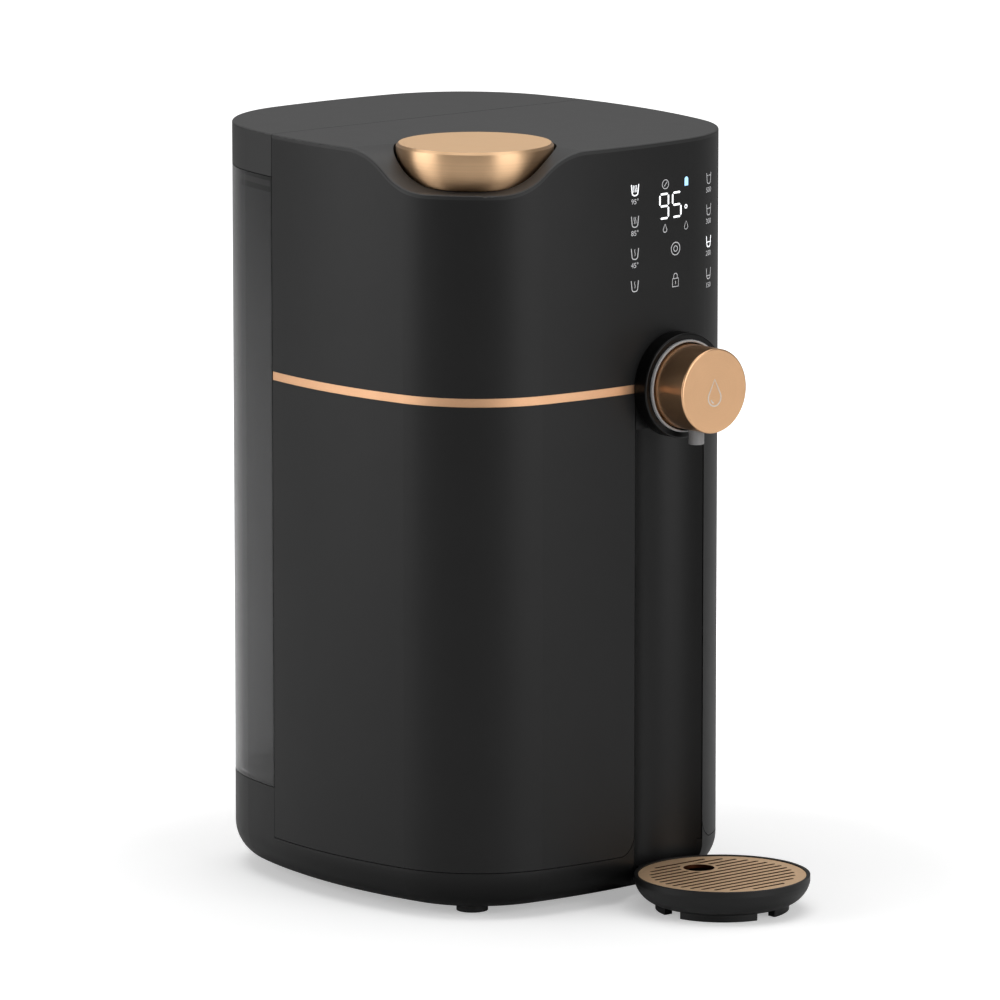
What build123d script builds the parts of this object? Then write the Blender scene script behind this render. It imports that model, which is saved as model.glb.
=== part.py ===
from build123d import *
import math
import os

os.makedirs("parts", exist_ok=True)

# Instant hot water dispenser for a countertop. Lengths are in millimetres, +Z is up and the front
# faces -Y. The origin is on the surface it stands on, in the middle of the whole footprint.

# Body outline: four shallow bows with rounded corners between them
body_width = 220.0
body_depth = 240.5
body_height = 400.0
tray_reach = 85.6  # how far the drip tray stands out in front of the body
side_bow = 290.0
front_bow = 344.0
rear_bow = 412.0
side_bow_advance = 3.3  # the widest point lies ahead of the middle by this much
front_corner = 64.0
rear_corner = 72.0
base_round = 19.5
edge_round = 1.0

# Levels, walls and clearances of the casing
foot_height = 4.0
base_top = 25.0
seat_top = 52.0
trim_height = 4.6
lid_height = 22.4
front_length = 154.7  # from the front face back to the joint with the water tank
shell_wall = 2.5
base_floor = 3.0
seam = 0.4
slack = 0.05  # between fixed pieces that nest
play = 0.3  # between pieces that move apart
overrun = 5.0

# Feet
foot_radius = 8.3
foot_side = 44.0
foot_setback = 41.4
foot_peg_radius = 3.0

# Niche behind the cup, and the arched knob housing above it
knob_side = 73.2  # from the side of the body to the axis of the knob
knob_drop = 127.5  # from the top of the body to the axis of the knob
niche_half = 27.0
niche_drop = 21.5  # from the axis of the knob to the top of the niche
niche_edge_left = 2.1  # how far behind the foremost face each side of the niche ends
niche_edge_right = 7.6
niche_depth = 17.2
niche_wall = 2.2
niche_corner = 11.0
housing_half = 26.6
collar_radius = 27.6
collar_stand = 8.75
collar_length = 8.8
housing_length = 30.4
bore_radius = 23.0
bore_depth = 24.4
ring_radius = 24.2
ring_length = 3.0
ring_stand = 1.6
ring_edge = 0.5
switch_post_radius = 2.5
switch_post_length = 6.0
switch_post_spread = 14.0

# Knob, its stem and its spring
knob_radius = 22.2
knob_stand = 31.55  # from the foremost face of the body to the face of the knob
knob_length = 33.2
knob_wall = 2.0
knob_face = 3.0
knob_edge = 0.9
knob_travel = 2.5
stem_radius = 4.0
stem_length = 52.2
shoulder_radius = 7.0
shoulder_length = 22.0
bush_radius = 7.0
bush_length = 10.0
bush_running = 0.05
clip_radius = 6.5
clip_thickness = 1.0
spring_wire = 0.5
spring_turns = 5
spring_mean = 5.6

# Spout
arm_drop = 13.5
arm_radius = 5.0
arm_bore = 3.0
arm_length = 47.0
arm_nose = 4.6
nozzle_stand = 17.35
nozzle_radius = 4.1
nozzle_bore = 2.8
nozzle_drop = 19.1  # from the axis of the knob to the top of the nozzle
nozzle_length = 10.5

# Filter cap, its pocket and the scoop in the top
cap_side = 54.5  # from the side of the body to the axis of the cap
cap_setback = 51.5
cap_radius = 40.8
cap_rise = 2.0
cap_bevel = 1.3
cap_waist_radius = 38.6
cap_waist_drop = 10.0
cap_heel_radius = 33.0
cap_heel_height = 2.1
cap_neck_radius = 21.5
cap_base_radius = 28.0
cap_wall = 2.6
cap_plug_radius = 17.7
cap_plug_length = 9.0
pocket_gap = 1.4
pocket_wall = 2.0
scoop_depth = 20.0
scoop_side = 4.0  # from the side of the body to the axis of the scoop
scoop_setback = 7.4
scoop_foot = 46.7
scoop_brink = 70.4
scoop_bend = 36.0
top_plate = 2.2

# Catch behind the cap
catch_width = 16.4
catch_length = 7.6  # behind the gap around the cap
catch_gap = 0.4
catch_sink = 0.6
catch_height = 6.0
catch_guide = 12.0
catch_guide_wall = 1.6

# Filter
filter_radius = 23.2
filter_drop = 4.0  # from the floor of the scoop to the top of the cartridge
filter_bottom = 62.0
filter_spigot = 8.0
filter_spigot_length = 8.0
filter_shoulder = 3.0
well_bore = 24.0
well_wall = 2.0
well_bottom = 58.0
manifold_height = 14.0
manifold_column = 12.0
port_radius = 3.2
port_length = 7.0
port_bore = 1.8
oring = 0.9

# Water tank and its lid
tank_wall = 2.6
tank_floor = 3.0
plinth_inset = 3.2
plinth_drop = 3.7
lip_depth = 8.5
lip_inset = 3.2
lip_wall = 2.0
seal_height = 3.0
seal_thickness = 1.5
deck_thickness = 2.5
deck_drop = 4.0
outlet_x = -40.0
outlet_radius = 10.0
outlet_bore = 7.0
outlet_length = 12.0
outlet_flange = 13.0
outlet_flange_height = 2.0
web_height = 2.0
web_level = 44.0
web_hole = 1.3
poppet_radius = 9.0
poppet_height = 2.0
poppet_stem_radius = 2.5
poppet_foot = 4.5
poppet_foot_height = 1.0
poppet_foot_level = 36.5
poppet_running = 0.05
dock_bore = 13.0
dock_radius = 15.3
dock_flange = 18.0
dock_floor_level = 33.0
dock_floor = 3.0
dock_pin = 2.0

# Drip tray
tray_aside = -0.3  # from the axis of the knob
tray_radius = 46.0
tray_top = 18.3
tray_band = 3.2
tray_belly_radius = 42.6
tray_belly_level = 8.2
tray_base_radius = 35.0
tray_base = 3.6
tray_wall = 2.0
grille_radius = 43.9
grille_thickness = 2.0
grille_sink = 0.5
grille_ledge = 1.8
slot_pitch = 5.4
slot_width = 2.0
slot_reach = 38.0
slot_shift = 1.3
slot_count = 14
drain_radius = 8.2
drain_aside = 1.2  # from the tray's axis
drain_setback = 19.9
tray_foot_wall = 5.0
tray_notch = 12.0
tray_notch_angles = (-90.0, 0.0, 90.0, 180.0)
locator_width = 26.0
locator_low = 9.0
locator_high = 15.0

# Works inside the casing
frame_setback = 117.5
frame_plate = 2.5
frame_left_gap = 30.0
frame_right_gap = 20.0
frame_drop = 60.0
frame_window_low = 20.0
frame_window_high = 92.0
frame_leg = 12.0
frame_foot = 14.0
bulkhead_plate = 2.5
display_half_width = 37.0
display_drop = 16.0
display_height = 68.0
display_back = 14.7
board_thickness = 1.6
board_margin = 4.0
power_width = 110.0
power_height = 96.0
power_low = 130.0
power_standoff = 5.5
standoff_radius = 3.0
pump_x = 2.0
pump_setback = 96.0
pump_head_size = 36.0
pump_level = 36.0
motor_radius = 18.0
motor_length = 60.0
mount_length = 10.0
mount_width = 30.0
heater_side = 55.0
heater_setback = 87.5
heater_radius = 20.0
heater_low = 120.0
heater_drop = 32.5  # from the axis of the knob to the top of the heater
heater_cap = 6.0
bracket_height = 10.0
bracket_wall = 2.5
cutout_width = 12.0
cutout_height = 16.0
cutout_depth = 7.0
meter_side = 115.0
meter_radius = 11.5
meter_low = 140.0
meter_height = 16.0
valve_width = 30.0
valve_height = 34.0
valve_low = 200.0
valve_depth = 24.0
coil_radius = 10.0
coil_length = 16.0
hose_radius = 4.0
hose_bore = 2.5
lead_radius = 3.0
hose_bend = 18.0  # the widest bend

# Mains inlet and screws
inlet_width = 28.0
inlet_height = 20.0
inlet_depth = 25.0
inlet_level = 35.0
inlet_flange_width = 40.0
inlet_flange = 2.0
socket_width = 22.0
socket_height = 14.0
socket_depth = 17.0
blade_length = 11.0
blade_width = 4.0
blade_thickness = 1.6
blade_spread = 7.0
screw_radius = 1.5
screw_head = 2.8
screw_head_height = 1.8
screw_length = 8.0

outlet_share = 0.47  # of the tank's depth

# Places that follow from the sizes above
rear_y = (body_depth + tray_reach) / 2
front_y = rear_y - body_depth
bow_y = (front_y + rear_y) / 2 - side_bow_advance
seam_y = front_y + front_length
knob_x = body_width / 2 - knob_side
knob_level = body_height - knob_drop
niche_top = knob_level - niche_drop
nozzle_top = knob_level - nozzle_drop
nozzle_bottom = nozzle_top - nozzle_length
trim_low = knob_level - trim_height / 2
trim_high = knob_level + trim_height / 2
lid_low = body_height - lid_height
floor_level = foot_height + base_floor
cover_low = base_top + seam
cap_x = cap_side - body_width / 2
cap_y = front_y + cap_setback
cap_top = body_height + cap_rise
scoop_x = scoop_side - body_width / 2
scoop_y = front_y + scoop_setback
scoop_level = body_height - scoop_depth
filter_top = scoop_level - filter_drop
tray_x = knob_x + tray_aside
tray_y = tray_radius - (body_depth + tray_reach) / 2
collar_y = front_y - collar_stand
housing_back = collar_y + housing_length
bore_back = collar_y + bore_depth
knob_y = front_y - knob_stand
nozzle_y = front_y - nozzle_stand
frame_y = front_y + frame_setback
frame_left = frame_left_gap - body_width / 2
frame_right = body_width / 2 - frame_right_gap
frame_high = body_height - frame_drop
display_high = body_height - display_drop
display_low = display_high - display_height
heater_x = body_width / 2 - heater_side
heater_y = front_y + heater_setback
heater_high = knob_level - heater_drop
meter_x = body_width / 2 - meter_side
pump_y = front_y + pump_setback
outlet_y = seam_y + outlet_share * (rear_y - seam_y)
deck_top = seat_top - deck_drop
tank_low = seat_top + seam
plinth_low = tank_low - plinth_drop
stem_end = knob_y + knob_face + stem_length
display_back_y = front_y + display_back
inside_inset = shell_wall + slack

bend_share = 0.45  # of the shorter run beside a hose's corner
diagonal = Plane(origin=(cap_x, cap_y, 0), x_dir=(-1, -1, 0), z_dir=(-1, 1, 0))


def save(piece, name):
    """Label a finished piece and write it to its own file."""
    piece.part.label = name
    export_step(piece.part, "parts/" + name + ".step")


def plane_at(y):
    """Vertical plane at depth y, seen from the front, with its normal to the rear."""
    return Plane(origin=(0, y, 0), x_dir=(-1, 0, 0), z_dir=(0, 1, 0))


def footprint(inset=0.0):
    """Plan outline of the body, drawn in by an inset."""
    with BuildSketch() as outline:
        with Locations((0, front_y + front_bow)):
            Circle(front_bow - inset)
        with Locations((0, rear_y - rear_bow)):
            Circle(rear_bow - inset, mode=Mode.INTERSECT)
        for side in (-1, 1):
            with Locations(Location((side * (body_width / 2 - side_bow), bow_y, 0), (0, 0, 90))):
                Circle(side_bow - inset, mode=Mode.INTERSECT)
        fillet(outline.vertices().filter_by(lambda v: v.Y < bow_y), front_corner - inset)
        fillet(outline.vertices().group_by(Axis.Y)[-1], rear_corner - inset)
    return outline.sketch


def rear_outline(inset=0.0):
    """Plan outline of the part of the body behind the joint with the tank."""
    with BuildSketch() as outline:
        add(footprint(inset))
        with Locations((0, seam_y + seam / 2 + inset)):
            Rectangle(body_width, body_depth, align=(Align.CENTER, Align.MIN), mode=Mode.INTERSECT)
    return outline.sketch


def niche_outline(grow=0.0):
    """Plan outline of the concave niche, open to the front, grown outwards by a wall."""
    left = (knob_x - niche_half, front_y + niche_edge_left)
    deep = (knob_x, front_y + niche_depth)
    right = (knob_x + niche_half, front_y + niche_edge_right)
    ahead = front_y - 2 * collar_radius
    with BuildSketch() as outline:
        with BuildLine():
            ThreePointArc(left, deep, right)
            Polyline(right, (right[0], ahead), (left[0], ahead), left)
        make_face()
        if grow > 0:
            offset(amount=grow)
    return outline.sketch


def prism(outline, low, high):
    """Upright solid on a plan outline between two levels."""
    with BuildPart() as block:
        with BuildSketch(Plane.XY.offset(low)):
            add(outline)
        extrude(amount=high - low)
    return block.part


def tub(low, high, inset, radius):
    """Upright solid on the body outline with a rounded lower edge."""
    with BuildPart() as block:
        add(prism(footprint(inset), low, high))
        fillet(block.edges().group_by(Axis.Z)[0], radius)
    return block.part


def wall_ring(low, high, inset=0.0):
    """Casing wall that follows the body outline between two levels."""
    with BuildPart() as ring:
        add(prism(footprint(inset), low, high))
        add(prism(footprint(shell_wall), low - overrun, high + overrun), mode=Mode.SUBTRACT)
    return ring.part


def slab(x_low, x_high, y_low, y_high, low, high):
    """Plain block between given sides."""
    with BuildPart() as block:
        with Locations(((x_low + x_high) / 2, (y_low + y_high) / 2, (low + high) / 2)):
            Box(x_high - x_low, y_high - y_low, high - low)
    return block.part


def rod(plane, radius, length, bore=0.0):
    """Round bar or tube that starts on a plane and runs along its normal."""
    with BuildPart() as bar:
        with BuildSketch(plane):
            Circle(radius)
            if bore > 0:
                Circle(bore, mode=Mode.SUBTRACT)
        extrude(amount=length)
    return bar.part


def upright(x, y, level):
    """Plane at a level, facing up, with its origin on a vertical axis."""
    return Plane(origin=(x, y, level))


def rearward(x, y, level):
    """Plane that faces the rear, with its origin on a line from front to rear."""
    return Plane(origin=(x, y, level), x_dir=(-1, 0, 0), z_dir=(0, 1, 0))


def sideways(x, y, level):
    """Plane that faces +X, with its origin on a line from side to side."""
    return Plane(origin=(x, y, level), x_dir=(0, 1, 0), z_dir=(1, 0, 0))


def arch(half, y_low, y_high, low):
    """Arched block of the knob housing: a half round on straight sides."""
    with BuildPart() as block:
        with BuildSketch(plane_at(y_low)):
            with Locations((-knob_x, knob_level)):
                Circle(half)
            with Locations((-knob_x, low)):
                Rectangle(2 * half, knob_level - low, align=(Align.CENTER, Align.MIN))
            with Locations((-knob_x, low)):
                Rectangle(2 * half, 2 * half, align=(Align.CENTER, Align.MAX), mode=Mode.SUBTRACT)
        extrude(amount=y_high - y_low)
    return block.part


def corner_fill(side, radius):
    """Rounded lower corner of a side cover beside the niche, as the piece that it leaves out."""
    edge = knob_x + side * niche_half
    middle = edge + side * niche_corner
    with BuildPart() as block:
        with BuildSketch(plane_at(front_y - overrun)):
            with Locations((-(edge + middle) / 2, base_top + niche_corner / 2)):
                Rectangle(niche_corner, niche_corner)
            with Locations((-middle, base_top + niche_corner)):
                Circle(radius, mode=Mode.SUBTRACT)
        extrude(amount=2 * niche_depth)
    return block.part


def above_scoop(drop):
    """Everything above the scooped surface of the top, which is lowered by a drop."""
    # The flat part lies a hair high, so that the bend cuts the flat top at a clear angle.
    high = body_height - drop + slack
    low = scoop_level - drop
    beyond = body_width + body_depth
    with BuildPart() as space:
        with BuildSketch(Plane.XZ) as space_outline:
            with BuildLine():
                Polyline(
                    (0, low),
                    (scoop_foot, low),
                    (scoop_brink, high),
                    (beyond, high),
                    (beyond, 2 * body_height),
                    (0, 2 * body_height),
                    close=True,
                )
            make_face()
            bends = space_outline.vertices().filter_by(
                lambda v: scoop_foot - slack < v.X < scoop_brink + slack
            )
            fillet(bends, scoop_bend)
        revolve(axis=Axis.Z)
    return space.part.moved(Location((scoop_x, scoop_y, 0)))


def bowl_side(grow, level):
    """Curved side of the filter cap's bowl, from its rim down to its base at a level."""
    flank = ThreePointArc(
        (cap_radius + grow, body_height),
        (cap_waist_radius + grow, body_height - cap_waist_drop),
        (cap_heel_radius + grow, level + cap_heel_height),
    )
    TangentArc(flank @ 1, (cap_base_radius + grow, level), tangent=flank % 1)


def bowl(grow, low):
    """Turned body of the filter cap's bowl, grown sideways and closed at a level."""
    with BuildPart() as turned:
        with BuildSketch(Plane.XZ):
            with BuildLine():
                Line((0, body_height), (cap_radius + grow, body_height))
                bowl_side(grow, scoop_level)
                if low < scoop_level:
                    Line((cap_base_radius + grow, scoop_level), (cap_base_radius + grow, low))
                Polyline((cap_base_radius + grow, low), (0, low), (0, body_height))
            make_face()
        revolve(axis=Axis.Z)
    return turned.part.moved(Location((cap_x, cap_y, 0)))


def hose(points, radius, bore):
    """Round hose through points, with its corners as wide as the runs allow."""
    runs = [math.dist(start, end) for start, end in zip(points, points[1:])]
    radii = []
    for index in range(1, len(points) - 1):
        before = Vector(points[index]) - Vector(points[index - 1])
        after = Vector(points[index + 1]) - Vector(points[index])
        half_turn = math.radians(before.get_angle(after)) / 2
        widest = bend_share * min(runs[index - 1], runs[index]) / math.tan(half_turn)
        radii.append(min(widest, hose_bend))
    with BuildPart() as tube:
        with BuildLine() as path:
            if radii:
                FilletPolyline(*points, radius=radii)
            else:
                Line(*points)
        start = Plane(origin=path.line @ 0, z_dir=path.line % 0)
        with BuildSketch(start):
            Circle(radius)
            if bore > 0:
                Circle(bore, mode=Mode.SUBTRACT)
        sweep(path=path.line)
    return tube


def coil(plane, mean, wire, length, turns):
    """Open coil spring that starts on a plane."""
    pitch = (length - 2 * wire) / turns
    with BuildPart() as spring:
        with BuildLine() as path:
            Helix(pitch=pitch, height=pitch * turns, radius=mean)
        with BuildSketch(Plane(origin=path.line @ 0, z_dir=path.line % 0)):
            Circle(wire)
        sweep(path=path.line, is_frenet=True)
    spring.part = spring.part.moved(plane.offset(wire).location)
    return spring


def screws(planes, length):
    """Group of alike screws, each with its head on a plane and its shank along the normal."""
    with BuildPart() as group:
        for plane in planes:
            add(rod(plane.offset(-screw_head_height), screw_head, screw_head_height))
            add(rod(plane, screw_radius, length))
    return group


foot_places = [
    (side * (body_width / 2 - foot_side), y)
    for side in (-1, 1)
    for y in (front_y + foot_setback, rear_y - foot_setback)
]
frame_foot_places = [
    (x, frame_y + frame_plate + frame_foot / 2)
    for x in (frame_left + frame_leg / 2, frame_right - frame_leg / 2)
]

# Base pan
with BuildPart() as base_pan:
    add(tub(foot_height, seat_top, 0, base_round))
    add(tub(floor_level, seat_top + overrun, shell_wall, base_round - shell_wall), mode=Mode.SUBTRACT)
    add(
        slab(-body_width, body_width, front_y - body_depth, seam_y, base_top, seat_top + overrun),
        mode=Mode.SUBTRACT,
    )
    for side in (-1, 1):
        with BuildPart(mode=Mode.PRIVATE) as fill:
            add(corner_fill(side, niche_corner + seam))
            add(wall_ring(base_top, base_top + niche_corner), mode=Mode.INTERSECT)
        add(fill.part)
    with BuildPart(mode=Mode.PRIVATE) as seat:
        add(slab(-body_width, body_width, seam_y, rear_y, deck_top - deck_thickness, deck_top))
        add(slab(-body_width, body_width, seam_y, seam_y + shell_wall, base_top, seat_top))
        add(prism(footprint(shell_wall), floor_level, seat_top + overrun), mode=Mode.INTERSECT)
    add(seat.part)
    add(prism(niche_outline(), 0, base_top + niche_corner + overrun), mode=Mode.SUBTRACT)
    add(rod(upright(outlet_x, outlet_y, deck_top - 2 * deck_thickness), dock_radius + slack,
            4 * deck_thickness), mode=Mode.SUBTRACT)
    add(slab(-inlet_width / 2 - slack, inlet_width / 2 + slack, rear_y - 4 * shell_wall,
             rear_y + overrun, inlet_level - inlet_height / 2 - slack,
             inlet_level + inlet_height / 2 + slack), mode=Mode.SUBTRACT)
    with Locations([(x, y, foot_height) for x, y in foot_places]):
        Cylinder(foot_peg_radius + slack, 4 * base_floor, mode=Mode.SUBTRACT)
    with Locations([(x, y, foot_height) for x, y in frame_foot_places]):
        Cylinder(screw_radius + slack, 4 * base_floor, mode=Mode.SUBTRACT)
        Cylinder(screw_head + slack, screw_head_height, mode=Mode.SUBTRACT)
    for x, radius, level in (
        (outlet_x, hose_radius, dock_floor_level + port_radius),
        (0, lead_radius, inlet_level),
    ):
        add(rod(rearward(x, seam_y - overrun, level), radius + slack, 2 * overrun + shell_wall),
            mode=Mode.SUBTRACT)
save(base_pan, "base_pan")

# Rubber feet with pegs that snap into the floor
with BuildPart() as feet:
    for x, y in foot_places:
        add(rod(upright(x, y, 0), foot_radius, foot_height))
        add(rod(upright(x, y, foot_height), foot_peg_radius, base_floor))
save(feet, "feet")


def side_cover(side):
    """Lower cover from the joint with the tank round the front corner to the niche."""
    with BuildPart() as cover:
        add(wall_ring(cover_low, trim_low))
        outer = side * body_width
        inner = knob_x + side * niche_half
        add(
            slab(min(outer, inner), max(outer, inner), front_y - overrun, seam_y - seam / 2,
                 cover_low, trim_low),
            mode=Mode.INTERSECT,
        )
        add(corner_fill(side, niche_corner), mode=Mode.SUBTRACT)
        add(arch(housing_half + play, collar_y, housing_back, niche_top), mode=Mode.SUBTRACT)
    return cover


left_cover = side_cover(-1)
save(left_cover, "left_cover")
right_cover = side_cover(1)
save(right_cover, "right_cover")


def trim_strip(side):
    """Metal strip between the lower cover and the upper shell, set in by a hair."""
    with BuildPart() as strip:
        add(wall_ring(trim_low + slack, trim_high - slack, play))
        outer = side * body_width
        inner = knob_x + side * (housing_half + play)
        add(
            slab(min(outer, inner), max(outer, inner), front_y - overrun, seam_y - seam / 2,
                 trim_low, trim_high),
            mode=Mode.INTERSECT,
        )
    return strip


left_trim = trim_strip(-1)
save(left_trim, "left_trim")
right_trim = trim_strip(1)
save(right_trim, "right_trim")

# Upper shell, which carries the touch panel, with its top edge cut along the scoop
with BuildPart() as upper_shell:
    add(wall_ring(trim_high, body_height))
    add(slab(-body_width, body_width, front_y - overrun, seam_y - seam / 2, trim_high, body_height),
        mode=Mode.INTERSECT)
    add(above_scoop(top_plate), mode=Mode.SUBTRACT)
    add(arch(housing_half + play, collar_y, housing_back, niche_top), mode=Mode.SUBTRACT)
save(upper_shell, "upper_shell")

# Top cover with the scoop, the pocket for the cap and the guide for the catch
catch_far = cap_radius + pocket_gap + catch_length
catch_reach = catch_far - cap_waist_radius
with BuildPart() as top_cover:
    add(prism(footprint(), scoop_level - overrun, body_height))
    add(above_scoop(0), mode=Mode.SUBTRACT)
    sides = top_cover.faces().filter_by(lambda face: abs(face.normal_at().Z) < slack)
    rim = sides.edges().filter_by(GeomType.LINE, reverse=True)
    fillet(rim.filter_by(lambda edge: edge.center().Z > scoop_level - slack), edge_round)
    add(slab(-body_width, body_width, front_y - overrun, seam_y - seam / 2,
             scoop_level - overrun, body_height), mode=Mode.INTERSECT)
    add(above_scoop(top_plate), mode=Mode.INTERSECT)
    with BuildPart(mode=Mode.PRIVATE) as pocket:
        add(bowl(pocket_gap + pocket_wall, scoop_level - top_plate))
        add(prism(footprint(shell_wall + slack), 0, 2 * body_height), mode=Mode.INTERSECT)
    add(pocket.part)
    add(above_scoop(0), mode=Mode.SUBTRACT)
    with BuildSketch(Plane(diagonal.origin + (0, 0, body_height), x_dir=diagonal.x_dir)):
        with Locations((-cap_waist_radius, 0)):
            Rectangle(catch_reach + catch_gap + catch_guide_wall,
                      catch_width + 2 * catch_gap + 2 * catch_guide_wall,
                      align=(Align.MAX, Align.CENTER))
    extrude(amount=-catch_guide)
    add(bowl(pocket_gap, scoop_level), mode=Mode.SUBTRACT)
    add(rod(upright(cap_x, cap_y, 0), well_bore, body_height), mode=Mode.SUBTRACT)
    with BuildSketch(Plane(diagonal.origin + (0, 0, body_height), x_dir=diagonal.x_dir)):
        with Locations((-cap_waist_radius, 0)):
            Rectangle(catch_reach + catch_gap, catch_width + 2 * catch_gap,
                      align=(Align.MAX, Align.CENTER))
    extrude(amount=-catch_guide + catch_guide_wall, mode=Mode.SUBTRACT)
save(top_cover, "top_cover")

# Catch that frees the filter cap, sunk a little, with its near side along the ring of the cap
catch_high = body_height - catch_sink
with BuildPart() as cap_catch:
    with BuildSketch(Plane(diagonal.origin + (0, 0, catch_high), x_dir=diagonal.x_dir)):
        with Locations((-cap_waist_radius, 0)):
            Rectangle(catch_reach, catch_width, align=(Align.MAX, Align.CENTER))
        Circle(cap_radius + pocket_gap, mode=Mode.SUBTRACT)
    extrude(amount=-catch_height)
    fillet(cap_catch.edges().group_by(Axis.Z)[-1], edge_round / 2)
save(cap_catch, "cap_catch")

# Spring under the catch
catch_middle = (diagonal * Location((catch_length / 2 - catch_far, 0, 0))).position
catch_spring_length = catch_guide - catch_guide_wall - catch_height - catch_sink
catch_spring = coil(
    upright(catch_middle.X, catch_middle.Y, body_height - catch_guide + catch_guide_wall),
    spring_mean / 2, spring_wire / 2, catch_spring_length, spring_turns,
)
save(catch_spring, "catch_spring")

# Niche panel: a concave sheet behind the edges of the two side covers
with BuildPart() as niche_panel:
    add(prism(niche_outline(niche_wall), floor_level, niche_top))
    add(prism(niche_outline(), 0, body_height), mode=Mode.SUBTRACT)
    with BuildPart(mode=Mode.PRIVATE) as mouth:
        add(prism(footprint(), cover_low, niche_top))
        add(slab(knob_x - niche_half + play, knob_x + niche_half - play, front_y - overrun,
                 front_y + niche_depth, base_top, niche_top), mode=Mode.INTERSECT)
        add(tub(floor_level, body_height, inside_inset, base_round - inside_inset))
    add(mouth.part, mode=Mode.INTERSECT)
save(niche_panel, "niche_panel")

# Locator behind the drip tray, a block in the foot of the niche with a hollow face
with BuildPart() as tray_locator:
    add(slab(tray_x - locator_width / 2, tray_x + locator_width / 2, front_y, front_y + niche_depth,
             locator_low, locator_high))
    add(prism(niche_outline(), 0, body_height), mode=Mode.INTERSECT)
    add(rod(upright(tray_x, tray_y, 0), tray_radius + play, body_height), mode=Mode.SUBTRACT)
save(tray_locator, "tray_locator")

# Knob housing: an arch through the casing that ends in a round collar
with BuildPart() as knob_housing:
    add(arch(housing_half, collar_y + collar_length, housing_back, niche_top))
    add(rod(rearward(knob_x, collar_y, knob_level), collar_radius, collar_length))
    fillet(knob_housing.edges().group_by(Axis.Y)[0], edge_round)
    add(rod(rearward(knob_x, collar_y, knob_level), bore_radius, bore_depth), mode=Mode.SUBTRACT)
    add(rod(rearward(knob_x, collar_y, knob_level), ring_radius + slack, ring_length - ring_stand),
        mode=Mode.SUBTRACT)
    add(rod(rearward(knob_x, collar_y, knob_level), bush_radius + slack, 2 * housing_length),
        mode=Mode.SUBTRACT)
    add(rod(rearward(knob_x, collar_y, knob_level - arm_drop), arm_radius + slack,
            2 * housing_length), mode=Mode.SUBTRACT)
    for side in (-1, 1):
        add(rod(rearward(knob_x + side * switch_post_spread, housing_back, knob_level),
                switch_post_radius, switch_post_length))
save(knob_housing, "knob_housing")

# Pale ring round the mouth of the housing
with BuildPart() as light_ring:
    add(rod(rearward(knob_x, collar_y - ring_stand, knob_level), ring_radius, ring_length,
            bore_radius))
    fillet(light_ring.edges().group_by(Axis.Y)[0], ring_edge)
save(light_ring, "light_ring")

# Bush that guides the knob's stem
bush_y = bore_back + (housing_back - bore_back) - bush_length + slack
with BuildPart() as knob_bush:
    add(rod(rearward(knob_x, bush_y, knob_level), bush_radius, bush_length,
            stem_radius + bush_running))
save(knob_bush, "knob_bush")

# Knob: a cup with a stem, slotted underneath where it passes the nozzle
with BuildPart() as knob:
    add(rod(rearward(knob_x, knob_y, knob_level), knob_radius, knob_length))
    fillet(knob.edges().group_by(Axis.Y)[0], knob_edge)
    add(rod(rearward(knob_x, knob_y + knob_face, knob_level), knob_radius - knob_wall,
            knob_length), mode=Mode.SUBTRACT)
    slot_y = nozzle_y - nozzle_radius - knob_travel - 2 * play
    slot_half = nozzle_radius + 2 * play
    add(slab(knob_x - slot_half, knob_x + slot_half, slot_y, knob_y + knob_length + overrun,
             nozzle_bottom, knob_level - arm_drop), mode=Mode.SUBTRACT)
    add(rod(rearward(knob_x, knob_y + knob_face, knob_level), stem_radius, stem_length))
    add(rod(rearward(knob_x, knob_y + knob_face, knob_level), shoulder_radius, shoulder_length))
save(knob, "knob")

# Spring clip that keeps the knob in its bush
with BuildPart() as knob_clip:
    add(rod(rearward(knob_x, bush_y + bush_length + play, knob_level), clip_radius, clip_thickness,
            stem_radius + slack))
save(knob_clip, "knob_clip")

# Return spring between the bush and the stem's shoulder
spring_start = knob_y + knob_face + shoulder_length
knob_spring = coil(
    rearward(knob_x, spring_start + slack, knob_level), spring_mean, spring_wire,
    bush_y - spring_start - 2 * slack, spring_turns,
)
save(knob_spring, "knob_spring")

# Switch behind the stem
switch_front = housing_back + switch_post_length
plunger_tip = stem_end + knob_travel + play
with BuildPart() as dispense_switch:
    add(slab(knob_x - switch_post_spread - switch_post_radius,
             knob_x + switch_post_spread + switch_post_radius,
             switch_front, switch_front + 2 * switch_post_length,
             knob_level - 2 * switch_post_radius, knob_level + 2 * switch_post_radius))
    add(rod(rearward(knob_x, plunger_tip, knob_level), switch_post_radius,
            switch_front - plunger_tip))
save(dispense_switch, "dispense_switch")

# Spout arm: a tube through the housing that turns down inside the knob
arm_level = knob_level - arm_drop
with BuildPart() as spout_arm:
    add(rod(rearward(knob_x, nozzle_y, arm_level), arm_radius, arm_length))
    add(rod(upright(knob_x, nozzle_y, nozzle_top), arm_nose, arm_level - nozzle_top))
    with Locations((knob_x, nozzle_y, arm_level)):
        Sphere(arm_radius + play)
    add(rod(upright(knob_x, nozzle_y, nozzle_top), arm_bore, arm_level - nozzle_top),
        mode=Mode.SUBTRACT)
    add(rod(rearward(knob_x, nozzle_y, arm_level), arm_bore, arm_length), mode=Mode.SUBTRACT)
    with Locations((knob_x, nozzle_y, arm_level)):
        Sphere(arm_bore + play, mode=Mode.SUBTRACT)
save(spout_arm, "spout_arm")

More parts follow.
